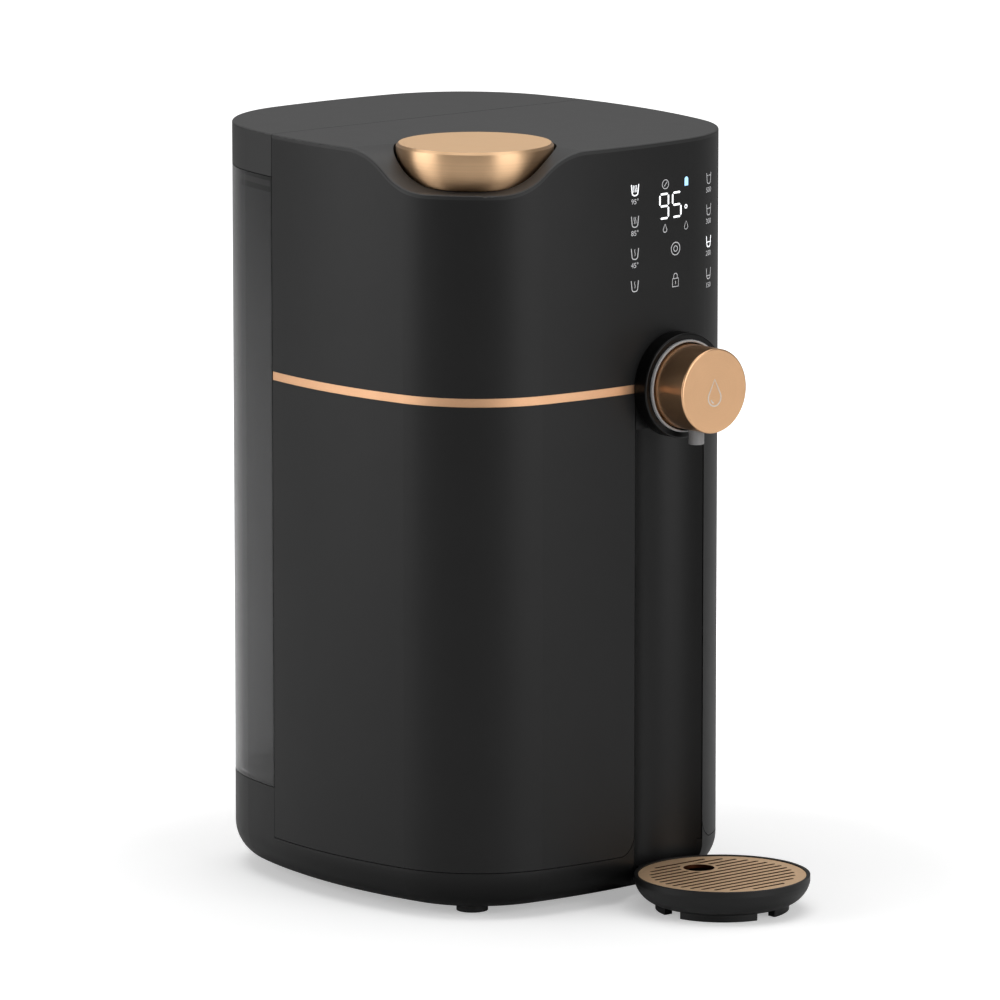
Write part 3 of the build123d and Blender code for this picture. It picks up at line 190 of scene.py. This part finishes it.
class Paint:
    """A node material, built one step at a time."""

    def __init__(self, name):
        self.material = bpy.data.materials.new(name)
        self.material.use_nodes = True
        self.tree = self.material.node_tree
        self.bsdf = self.tree.nodes["Principled BSDF"]
        self.place = self.add("ShaderNodeTexCoord").outputs["Object"]

    def add(self, kind, **settings):
        node = self.tree.nodes.new(kind)
        for key, value in settings.items():
            setattr(node, key, value)
        return node

    def link(self, output, target):
        self.tree.links.new(output, target)

    def noise(self, scale, detail=2.0, stretch=(1, 1, 1), place=None):
        """Noise over the object's own place, per metre."""
        mapping = self.add("ShaderNodeMapping")
        mapping.inputs["Scale"].default_value = stretch
        self.link(place or self.place, mapping.inputs["Vector"])
        texture = self.add("ShaderNodeTexNoise")
        texture.inputs["Scale"].default_value = scale
        texture.inputs["Detail"].default_value = detail
        self.link(mapping.outputs["Vector"], texture.inputs["Vector"])
        return texture.outputs["Fac"]

    def spread(self, factor, low, high, from_low=noise_low, from_high=noise_high):
        """Factor mapped onto a range."""
        ranged = self.add("ShaderNodeMapRange")
        ranged.inputs["From Min"].default_value = from_low
        ranged.inputs["From Max"].default_value = from_high
        ranged.inputs["To Min"].default_value = low
        ranged.inputs["To Max"].default_value = high
        self.link(factor, ranged.inputs["Value"])
        return ranged.outputs["Result"]

    def tint(self, factor, dark, light):
        """Base colour that varies between two near colours."""
        ramp = self.add("ShaderNodeValToRGB")
        ramp.color_ramp.elements[0].position = noise_low
        ramp.color_ramp.elements[1].position = noise_high
        ramp.color_ramp.elements[0].color = dark
        ramp.color_ramp.elements[1].color = light
        self.link(factor, ramp.inputs["Fac"])
        self.link(ramp.outputs["Color"], self.bsdf.inputs["Base Color"])

    def sides(self, color):
        """Another base colour on every face that doesn't look up, such as the walls of slots, so
        that the step between up-facing and other faces is painted light and shade.
        """
        surface = self.add("ShaderNodeTexCoord")
        parts = self.add("ShaderNodeSeparateXYZ")
        self.link(surface.outputs["Normal"], parts.inputs["Vector"])
        level = self.add("ShaderNodeMath", operation="GREATER_THAN")
        level.inputs[1].default_value = upward_least
        self.link(parts.outputs["Z"], level.inputs[0])
        choice = self.add("ShaderNodeMix", data_type="RGBA")
        choice.inputs[color_a].default_value = color
        self.link(self.bsdf.inputs["Base Color"].links[0].from_socket, choice.inputs[color_b])
        self.link(level.outputs["Value"], choice.inputs["Factor"])
        self.link(choice.outputs[color_result], self.bsdf.inputs["Base Color"])

    def fade(self, low, high, least, specular):
        """Painted shade: darker base colour and duller shine towards the foot, between two heights
        in metres.
        """
        parts = self.add("ShaderNodeSeparateXYZ")
        self.link(self.place, parts.inputs["Vector"])
        darker = self.add("ShaderNodeVectorMath", operation="SCALE")
        self.link(self.bsdf.inputs["Base Color"].links[0].from_socket, darker.inputs[0])
        self.link(self.spread(parts.outputs["Z"], least, 1.0, low, high), darker.inputs["Scale"])
        self.link(darker.outputs["Vector"], self.bsdf.inputs["Base Color"])
        self.link(self.spread(parts.outputs["Z"], specular * least, specular, low, high),
                  self.bsdf.inputs["Specular IOR Level"])

    def bump(self, factor, strength, distance):
        """Relief from a factor, with its depth in metres."""
        relief = self.add("ShaderNodeBump")
        relief.inputs["Strength"].default_value = strength
        relief.inputs["Distance"].default_value = distance
        self.link(factor, relief.inputs["Height"])
        self.link(relief.outputs["Normal"], self.bsdf.inputs["Normal"])


def shade(color, factor):
    """The colour made lighter or darker."""
    return (color[0] * factor, color[1] * factor, color[2] * factor, 1.0)


def plastic(name, color, roughness, depth=matt_depth, vary=0.04, specular=0.5, walls=None,
            foot=None):
    """Moulded plastic with a fine spark-eroded grain and a slight unevenness of tone; where asked,
    another colour by facing and a darker foot are painted light and shade.
    """
    paint = Paint(name)
    paint.tint(paint.noise(scale=35.0, detail=4.0), shade(color, 1 - vary), shade(color, 1 + vary))
    sheen = paint.noise(scale=90.0, detail=3.0)
    paint.link(paint.spread(sheen, roughness - vary / 4, roughness + vary / 4),
               paint.bsdf.inputs["Roughness"])
    paint.bump(paint.noise(scale=2600.0), strength=0.35, distance=depth)
    sock(paint.bsdf, "Specular IOR Level", specular)
    # Another colour on the faces that don't look up, as painted light and shade by facing
    if walls:
        paint.sides(walls)
    # Painted shade: darker and duller towards the foot
    if foot:
        paint.fade(*foot, specular)
    return paint.material


def rings_about(paint, centre, stretch):
    """Brushing in rings round a centre, for a place that stretch flattens onto the ring's plane."""
    shift = paint.add("ShaderNodeVectorMath", operation="SUBTRACT")
    shift.inputs[1].default_value = centre
    paint.link(paint.place, shift.inputs[0])
    flat = paint.add("ShaderNodeVectorMath", operation="MULTIPLY")
    flat.inputs[1].default_value = stretch
    paint.link(shift.outputs["Vector"], flat.inputs[0])
    length = paint.add("ShaderNodeVectorMath", operation="LENGTH")
    paint.link(flat.outputs["Vector"], length.inputs[0])
    gather = paint.add("ShaderNodeCombineXYZ")
    paint.link(length.outputs["Value"], gather.inputs["X"])
    return paint.noise(scale=2700.0, detail=3.0, place=gather.outputs["Vector"])


def turned_shine(paint, axis):
    """Streaks of light round an axis, and straight ones on the flat top, which is darkened as
    painted shade.
    """
    rings = paint.add("ShaderNodeTangent", direction_type="RADIAL", axis=axis)
    surface = paint.add("ShaderNodeTexCoord")
    parts = paint.add("ShaderNodeSeparateXYZ")
    paint.link(surface.outputs["Normal"], parts.inputs["Vector"])
    flat_top = paint.add("ShaderNodeMath", operation="GREATER_THAN")
    flat_top.inputs[1].default_value = flat_least
    paint.link(parts.outputs[axis], flat_top.inputs[0])
    blend = paint.add("ShaderNodeMix", data_type="VECTOR")
    paint.link(flat_top.outputs["Value"], blend.inputs["Factor"])
    paint.link(rings.outputs["Tangent"], blend.inputs[vector_a])
    blend.inputs[vector_b].default_value = flat_tangent
    paint.link(blend.outputs[vector_result], paint.bsdf.inputs["Tangent"])
    # Painted shade: the flat top's colour is darkened
    top_shade = paint.add("ShaderNodeMix", data_type="RGBA", blend_type="MULTIPLY")
    top_shade.inputs[color_b].default_value = flat_top_shade
    paint.link(flat_top.outputs["Value"], top_shade.inputs["Factor"])
    paint.link(paint.bsdf.inputs["Base Color"].links[0].from_socket, top_shade.inputs[color_a])
    paint.link(top_shade.outputs[color_result], paint.bsdf.inputs["Base Color"])
    sock(paint.bsdf, "Anisotropic", 0.9)
    sock(paint.bsdf, "Anisotropic Rotation", 0.25)


def metal(name, color, roughness, stretch, centre=None, turned="", slot_wall_shade=None):
    """Anodised metal, brushed in rings round a centre or in lines along the small stretch, with
    painted shade on the faces that don't look up where asked, and on the flat top of a turned part.
    """
    paint = Paint(name)
    if centre is None:
        lines = paint.noise(scale=900.0, detail=3.0, stretch=stretch)
    else:
        lines = rings_about(paint, centre, stretch)
    paint.tint(lines, shade(color, 0.95), shade(color, 1.04))
    sheen = paint.noise(scale=60.0, detail=3.0)
    paint.link(paint.spread(sheen, roughness - 0.03, roughness + 0.03),
               paint.bsdf.inputs["Roughness"])
    paint.bump(lines, strength=0.3, distance=brushed_depth)
    sock(paint.bsdf, "Metallic", 1.0)
    # Painted shade on the faces that don't look up
    if slot_wall_shade:
        paint.sides(slot_wall_shade)
    if turned:
        turned_shine(paint, turned)
    return paint.material


def soft(name, color, roughness, clear=0.0):
    """Rubber or silicone with a dull, slightly mottled skin."""
    paint = Paint(name)
    paint.tint(paint.noise(scale=160.0, detail=4.0), shade(color, 0.9), shade(color, 1.08))
    paint.link(paint.spread(paint.noise(scale=400.0), roughness - 0.05, roughness + 0.05),
               paint.bsdf.inputs["Roughness"])
    paint.bump(paint.noise(scale=1400.0), strength=0.3, distance=0.00003)
    sock(paint.bsdf, "Transmission Weight", clear)
    return paint.material


def smoked(name, color, roughness):
    """Tinted clear plastic with faint mould waves."""
    paint = Paint(name)
    paint.tint(paint.noise(scale=20.0), shade(color, 0.96), shade(color, 1.04))
    paint.link(paint.spread(paint.noise(scale=50.0), roughness - 0.02, roughness + 0.02),
               paint.bsdf.inputs["Roughness"])
    paint.bump(paint.noise(scale=60.0, detail=1.0), strength=0.2, distance=matt_depth)
    sock(paint.bsdf, "Transmission Weight", 1.0)
    sock(paint.bsdf, "IOR", 1.4)
    return paint.material


def laminate(name, color):
    """Circuit board with faint tracks under its mask."""
    paint = Paint(name)
    tracks = paint.noise(scale=700.0, detail=0.0, stretch=(1, 1, 0.06))
    paint.tint(tracks, shade(color, 0.7), shade(color, 1.2))
    paint.bump(tracks, strength=0.3, distance=matt_depth)
    sock(paint.bsdf, "Roughness", 0.35)
    return paint.material


def glow(name, color, strength):
    """Lit mark on the panel, with a faint grain."""
    paint = Paint(name)
    paint.tint(paint.noise(scale=900.0), shade(color, 0.94), color)
    sock(paint.bsdf, "Emission Color", color)
    sock(paint.bsdf, "Emission Strength", strength)
    sock(paint.bsdf, "Roughness", 0.4)
    return paint.material


def ink(name, color):
    """Printed or etched mark."""
    paint = Paint(name)
    paint.tint(paint.noise(scale=1200.0), shade(color, 0.9), shade(color, 1.05))
    sock(paint.bsdf, "Roughness", 0.45)
    return paint.material


gold = srgb(224, 178, 140)
cap_gold = srgb(240, 200, 158)
knob_gold = srgb(240, 192, 148)
knob_centre = Vector((knob_x, 0, knob_level))
paints = {
    "shell": plastic("shell_black", srgb(27, 27, 27), 0.42, specular=0.22),
    # The niche panel is painted darker than the shell, as painted shade in the recess
    "niche": plastic("niche_painted_shade", srgb(15, 15, 15), 0.36, specular=0.25),
    # The top parts' upward faces are painted much lighter than the shell, a painted reflection of
    # the bright room; the faces that don't look up keep near the shell's colour
    "top": plastic("top_black", srgb(66, 66, 66), 0.5, vary=0.02, specular=0.4,
                   walls=srgb(30, 30, 30)),
    # The base is darkened and dulled towards the floor as painted shade
    "base": plastic("base_black", srgb(20, 20, 20), 0.42, specular=0.24, foot=base_foot_shade),
    "gloss": plastic("collar_black", srgb(5, 5, 5), 0.3, depth=gloss_depth, specular=0.25),
    "tray": plastic("tray_black", srgb(16, 16, 16), 0.45, specular=0.35),
    "inner": plastic("inner_black", srgb(30, 30, 30), 0.6),
    "white": plastic("works_white", srgb(205, 204, 198), 0.5),
    "ring": plastic("ring_silver", srgb(172, 172, 172), 0.36, depth=gloss_depth),
    # The cap's flat top is darkened as painted shade
    "cap": metal("cap_gold", cap_gold, 0.46, (1, 1, 0), cap_centre * mm, turned="Z"),
    "knob": metal("knob_gold", knob_gold, 0.32, (1, 0, 1), knob_centre * mm),
    "strip": metal("strip_gold", gold, 0.52, (1, 1, 12)),
    # The grille's slot walls are painted dark brown as painted shade
    "grille": metal("grille_gold", srgb(250, 216, 178), 0.58, (0.08, 1, 1),
                    slot_wall_shade=srgb(78, 44, 28)),
    "steel": metal("bare_steel", srgb(190, 190, 192), 0.35, (1, 1, 0.1)),
    "spout": soft("spout_grey", srgb(134, 134, 135), 0.5),
    "rubber": soft("foot_rubber", srgb(26, 26, 26), 0.75),
    "seal": soft("seal_silicone", srgb(190, 190, 184), 0.5),
    "hose": soft("hose_silicone", srgb(215, 215, 208), 0.35, 0.3),
    "tank": smoked("tank_smoke", srgb(124, 124, 125), 0.1),
    "board": laminate("board_green", srgb(20, 92, 48)),
}
node_paints = {
    "shell": ("left_cover", "right_cover", "upper_shell"),
    "niche": ("niche_panel", "tray_locator"),
    "top": ("top_cover", "cap_catch", "tank_lid"),
    "base": ("base_pan",),
    "gloss": ("knob_housing",),
    "tray": ("drip_tray", "tray_feet"),
    "inner": (
        "rear_bulkhead", "dispense_switch", "spout_arm", "filter_well", "display_module",
        "pump_head", "thermal_cutout", "tank_dock", "mains_inlet", "inlet_lead", "tank_outlet",
    ),
    "white": (
        "knob_bush", "filter_manifold", "inner_frame", "flow_meter", "inlet_valve",
        "filter_cartridge", "tank_valve",
    ),
    "ring": ("light_ring",),
    "cap": ("filter_cap",),
    "knob": ("knob",),
    "strip": ("left_trim", "right_trim"),
    "grille": ("tray_grille",),
    "steel": (
        "pump_motor", "heater", "heater_straps", "base_screws", "board_screws", "knob_clip",
        "knob_spring", "catch_spring", "valve_spring",
    ),
    "spout": ("nozzle",),
    "rubber": ("feet", "pump_mounts"),
    "seal": ("dock_seal", "cartridge_seals", "lid_seal"),
    "hose": ("dock_hose", "pump_hose", "filter_hose", "meter_hose", "heater_hose", "spout_hose"),
    "tank": ("tank",),
    "board": ("control_board", "power_board"),
}
for key, names in node_paints.items():
    for name in names:
        mesh = nodes[name].data
        mesh.materials.clear()
        mesh.materials.append(paints[key])


def ribbon(points, width, closed=False):
    """Flat line of even width through points, as corner points and faces, with round ends."""
    corners = []
    faces = []
    count = len(points)
    for index in range(count):
        here = Vector(points[index])
        inside = closed or index + 1 < count
        after = Vector(points[(index + 1) % count] if inside else points[index])
        before = Vector(points[index - 1] if closed or index > 0 else points[index])
        along = (after - before).normalized()
        across = Vector((-along.y, along.x)) * width / 2
        corners += [here + across, here - across]
    runs = count if closed else count - 1
    for index in range(runs):
        a = 2 * index
        b = 2 * ((index + 1) % count)
        faces.append((a, a + 1, b + 1, b))
    if not closed:
        for end, ahead in ((0, 1), (count - 1, count - 2)):
            middle = Vector(points[end])
            out = (middle - Vector(points[ahead])).normalized()
            start = math.atan2(out.y, out.x) - math.pi / 2
            first = len(corners)
            steps = 6
            corners += [
                middle + Vector((math.cos(start + math.pi * step / steps),
                                 math.sin(start + math.pi * step / steps))) * width / 2
                for step in range(steps + 1)
            ]
            faces.append(tuple(range(first, first + steps + 1)))
    return corners, faces


def arc(x, y, radius, start, end, steps):
    """Points on an arc between two angles in degrees."""
    angles = [math.radians(start + (end - start) * step / steps) for step in range(steps + 1)]
    return [(x + radius * math.cos(angle), y + radius * math.sin(angle)) for angle in angles]


def flat_piece(name, shapes, paint, body, onto):
    """One piece from flat shapes in millimetres, laid on the object by the function onto."""
    shape = bmesh.new()
    for corners, faces in shapes:
        placed = [shape.verts.new(onto(corner)) for corner in corners]
        for face in faces:
            shape.faces.new([placed[index] for index in face])
    bmesh.ops.recalc_face_normals(shape, faces=shape.faces)
    mesh = bpy.data.meshes.new(name)
    shape.to_mesh(mesh)
    shape.free()
    mesh.materials.append(paint)
    piece = bpy.data.objects.new(name, mesh)
    bpy.context.scene.collection.objects.link(piece)
    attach(piece, body)


def on_panel(corner):
    """Place on the curved front of the upper shell, a hair proud of it."""
    start = Vector((corner[0] * mm, ray_start, corner[1] * mm))
    _, place, normal, _ = nodes["upper_shell"].ray_cast(start, Vector((0, 1, 0)))
    return place + normal * decal_lift * mm


def on_knob(corner):
    """Place on the knob's face, a hair proud of it."""
    low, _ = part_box("knob")
    return Vector((corner[0] * mm, low.y - decal_lift * mm, corner[1] * mm))


def cup(x, y, width):
    """Outline of a tumbler, open at the top."""
    half = cup_width / 2
    low = y - cup_height / 2
    high = y + cup_height / 2
    bend = half * cup_bend_share
    right = arc(x + half * cup_foot_share - bend, low + bend, bend, -90, -cup_lean, steps=8)
    left = [(2 * x - px, py) for px, py in reversed(right)]
    return [ribbon([(x - half, high), *left, *right, (x + half, high)], width)]


def drop(x, y, height, width):
    """Outline of a water drop."""
    radius = height * drop_radius_share
    centre = y - height / 2 + radius
    tangent = math.degrees(math.asin(radius / (height - radius)))
    swell = arc(x, centre, radius, tangent, -180 - tangent, steps=28)
    return [ribbon([*swell, (x, y + height / 2)], width, True)]


def segments(x, y, digit):
    """Six-cornered bars of one digit of a seven-segment display."""
    half = digit_width / 2
    tall = digit_height / 2
    gap = digit_stroke * digit_gap_share
    ends = {
        "a": ((-half, tall), (half, tall)),
        "b": ((half, tall), (half, 0)),
        "c": ((half, 0), (half, -tall)),
        "d": ((-half, -tall), (half, -tall)),
        "f": ((-half, tall), (-half, 0)),
        "g": ((-half, 0), (half, 0)),
    }
    bars = []
    for name in digit_bars[digit]:
        start = Vector(ends[name][0])
        end = Vector(ends[name][1])
        along = (end - start).normalized()
        across = Vector((-along.y, along.x)) * digit_stroke / 2
        start = start + along * gap
        end = end - along * gap
        inner = along * digit_stroke / 2
        middle = Vector((x, y))
        outline = [start, start + inner + across, end - inner + across, end,
                   end - inner - across, start + inner - across]
        bars.append(([middle + corner for corner in outline], [tuple(range(6))]))
    return bars


def number(text, x, y, height):
    """Numerals in the plain built-in face, as flat shapes about a middle."""
    curve = bpy.data.curves.new("numeral", "FONT")
    curve.body = text
    curve.align_x = "CENTER"
    curve.align_y = "CENTER"
    curve.size = height / numeral_share
    curve.resolution_u = 3
    holder = bpy.data.objects.new("numeral", curve)
    bpy.context.scene.collection.objects.link(holder)
    bpy.context.view_layer.update()
    mesh = bpy.data.meshes.new_from_object(holder)
    corners = [(vertex.co.x + x, vertex.co.y + y) for vertex in mesh.vertices]
    faces = [tuple(face.vertices) for face in mesh.polygons]
    bpy.data.objects.remove(holder)
    bpy.data.curves.remove(curve)
    bpy.data.meshes.remove(mesh)
    return [(corners, faces)]


def steam(x, y, count):
    """Short wavy lines that rise from a cup."""
    lines = []
    for index in range(count):
        middle = x + (index - (count - 1) / 2) * steam_pitch
        wave = [(middle + steam_sway * math.sin(math.pi * step / steam_half_wave),
                 y + step * steam_step) for step in range(steam_points)]
        lines.append(ribbon(wave, faint))
    return lines


white_lit = glow("mark_lit", srgb(250, 252, 255), 0.9)
white_dim = glow("mark_dim", srgb(190, 190, 192), 0.3)
blue_lit = glow("mark_blue", srgb(165, 215, 255), 0.85)

dim_marks = []
lit_marks = []
for row, (level, lines) in enumerate(zip(key_levels, steam_lines)):
    lit = row == left_lit_row
    marks = lit_marks if lit else dim_marks
    marks += cup(left_column, level, bold if lit else firm)
    marks += steam(left_column, level - steam_drop, lines)
for level, label in zip(key_levels, left_labels):
    dim_marks += number(label, left_column, level - label_drop, label_height)
for row, (level, label) in enumerate(zip(key_levels, right_labels)):
    lit = row == right_lit_row
    marks = lit_marks if lit else dim_marks
    marks += cup(right_column, level, bold if lit else firm)
    water = level + cup_height * (water_high_share - water_step_share * row)
    marks.append(ribbon([(right_column - water_half, water), (right_column + water_half, water)],
                        thin))
    dim_marks += number(label, right_label_x, level - label_drop, label_height)
for column, digit in zip(digit_columns, display):
    lit_marks += segments(column, digit_level, digit)
lit_marks.append(ribbon(arc(*degree_place, degree_radius, 0, 330, steps=11), degree_stroke, True))

dial_x, dial_level = dial_place
dim_marks.append(ribbon(arc(*dial_place, dial_radius, 0, 345, steps=23), thin, True))
dim_marks.append(ribbon([(dial_x + across, dial_level + up) for across, up in dial_hand], thin))
dim_marks += drop(left_drop_x, small_drop_level, small_drop_height, thin)
dim_marks += drop(right_drop_x, small_drop_level, small_drop_height, faint)
outer = arc(middle_column, rings_level, outer_ring, 0, 350, steps=35)
inner = arc(middle_column, rings_level, inner_ring, 0, 340, steps=17)
dim_marks += [ribbon(outer, ring_stroke, True), ribbon(inner, thin, True)]

lock_body = [
    (middle_column - lock_half, lock_low), (middle_column + lock_half, lock_low),
    (middle_column + lock_half, lock_high), (middle_column - lock_half, lock_high),
]
shackle_bend = arc(middle_column, lock_high + shackle_leg, shackle_radius, 180, 0, steps=10)
dim_marks.append(ribbon([*lock_body, lock_body[0]], thin))
dim_marks.append(ribbon([(middle_column - shackle_radius, lock_high), *shackle_bend,
                         (middle_column + shackle_radius, lock_high)], thin))
dim_marks.append(ribbon([(middle_column, keyhole_high), (middle_column, keyhole_low)], thin))
lamp = [(lamp_x - lamp_half, lamp_low), (lamp_x + lamp_half, lamp_low),
        *arc(lamp_x, lamp_low + lamp_leg, lamp_half, 0, 180, steps=10)]

flat_piece("panel_marks_dim", dim_marks, white_dim, "housing", on_panel)
flat_piece("panel_marks_lit", lit_marks, white_lit, "housing", on_panel)
flat_piece("filter_lamp", [(lamp, [tuple(range(len(lamp)))])], blue_lit, "housing", on_panel)

knob_marks = drop(knob_x, knob_drop_level, knob_drop_height, knob_drop_stroke)
glint = arc(knob_x, glint_level, glint_radius, 200, 250, steps=8)
knob_marks.append(ribbon(glint, knob_drop_stroke))
flat_piece("knob_drop", knob_marks, ink("etched_pale", srgb(226, 214, 200)), "knob", on_knob)


def softbox(name, place, width, height, power):
    """Soft rectangular light, aimed at the object."""
    data = bpy.data.lights.new(name, "AREA")
    data.shape = "RECTANGLE"
    data.size = width
    data.size_y = height
    data.energy = power
    light = bpy.data.objects.new(name, data)
    light.location = place
    light.rotation_euler = (lamp_target - Vector(place)).to_track_quat("-Z", "Y").to_euler()
    bpy.context.scene.collection.objects.link(light)


for name, settings in softboxes.items():
    softbox(name, *settings)


def world_light():
    """Studio room, dimmer where the photographer stands, that the camera itself sees as white."""
    world = bpy.data.worlds.new("studio")
    bpy.context.scene.world = world
    world.use_nodes = True
    tree = world.node_tree
    back = tree.nodes["Background"]
    sides = tree.nodes.new("ShaderNodeTexCoord")
    facing = tree.nodes.new("ShaderNodeVectorMath")
    facing.operation = "DOT_PRODUCT"
    facing.inputs[1].default_value = (camera_heading.x, camera_heading.y, room_tilt)
    tree.links.new(sides.outputs["Generated"], facing.inputs[0])
    even = tree.nodes.new("ShaderNodeMapRange")
    even.interpolation_type = "SMOOTHSTEP"
    even.inputs["From Min"].default_value = room_dim_from
    even.inputs["From Max"].default_value = room_bright_from
    even.inputs["To Min"].default_value = room_dim
    even.inputs["To Max"].default_value = room_bright
    tree.links.new(facing.outputs["Value"], even.inputs["Value"])
    path = tree.nodes.new("ShaderNodeLightPath")
    lift = tree.nodes.new("ShaderNodeMath")
    lift.operation = "MAXIMUM"
    tree.links.new(even.outputs["Result"], lift.inputs[0])
    tree.links.new(path.outputs["Is Camera Ray"], lift.inputs[1])
    tree.links.new(lift.outputs["Value"], back.inputs["Strength"])
    back.inputs["Color"].default_value = (1, 1, 1, 1)


world_light()


def floor_paint():
    """White floor that keeps the shadow near the object and shows pure white far from it."""
    paint = Paint("floor_white")
    color = srgb(246, 246, 246)
    paint.tint(paint.noise(scale=3.0), shade(color, 0.995), color)
    sock(paint.bsdf, "Roughness", 0.9)
    sock(paint.bsdf, "Specular IOR Level", 0.0)
    path = paint.add("ShaderNodeLightPath")
    away = paint.add("ShaderNodeVectorMath", operation="LENGTH")
    paint.link(paint.place, away.inputs[0])
    glow_by_place = paint.spread(away.outputs["Value"], floor_near_glow, floor_far_glow,
                                 floor_near, floor_far)
    seen_glow = paint.add("ShaderNodeMath", operation="MULTIPLY")
    paint.link(glow_by_place, seen_glow.inputs[1])
    paint.link(path.outputs["Is Camera Ray"], seen_glow.inputs[0])
    sock(paint.bsdf, "Emission Color", (1, 1, 1, 1))
    paint.link(seen_glow.outputs["Value"], paint.bsdf.inputs["Emission Strength"])
    return paint.material


bpy.ops.mesh.primitive_plane_add(size=floor_size, location=(0, 0, -floor_drop))
floor = bpy.context.object
floor.name = "floor"
floor.data.materials.append(floor_paint())

camera_data = bpy.data.cameras.new("camera")
camera_data.lens = camera_lens
camera_data.sensor_width = sensor_width
camera_data.clip_end = camera_reach
camera = bpy.data.objects.new("camera", camera_data)
camera.location = camera_place
sight = Vector((camera_heading.x * math.cos(camera_drop), camera_heading.y * math.cos(camera_drop),
                -math.sin(camera_drop)))
camera.rotation_euler = sight.to_track_quat("-Z", "Y").to_euler()
bpy.context.scene.collection.objects.link(camera)
bpy.context.scene.camera = camera
bpy.context.scene.view_settings.view_transform = "Standard"
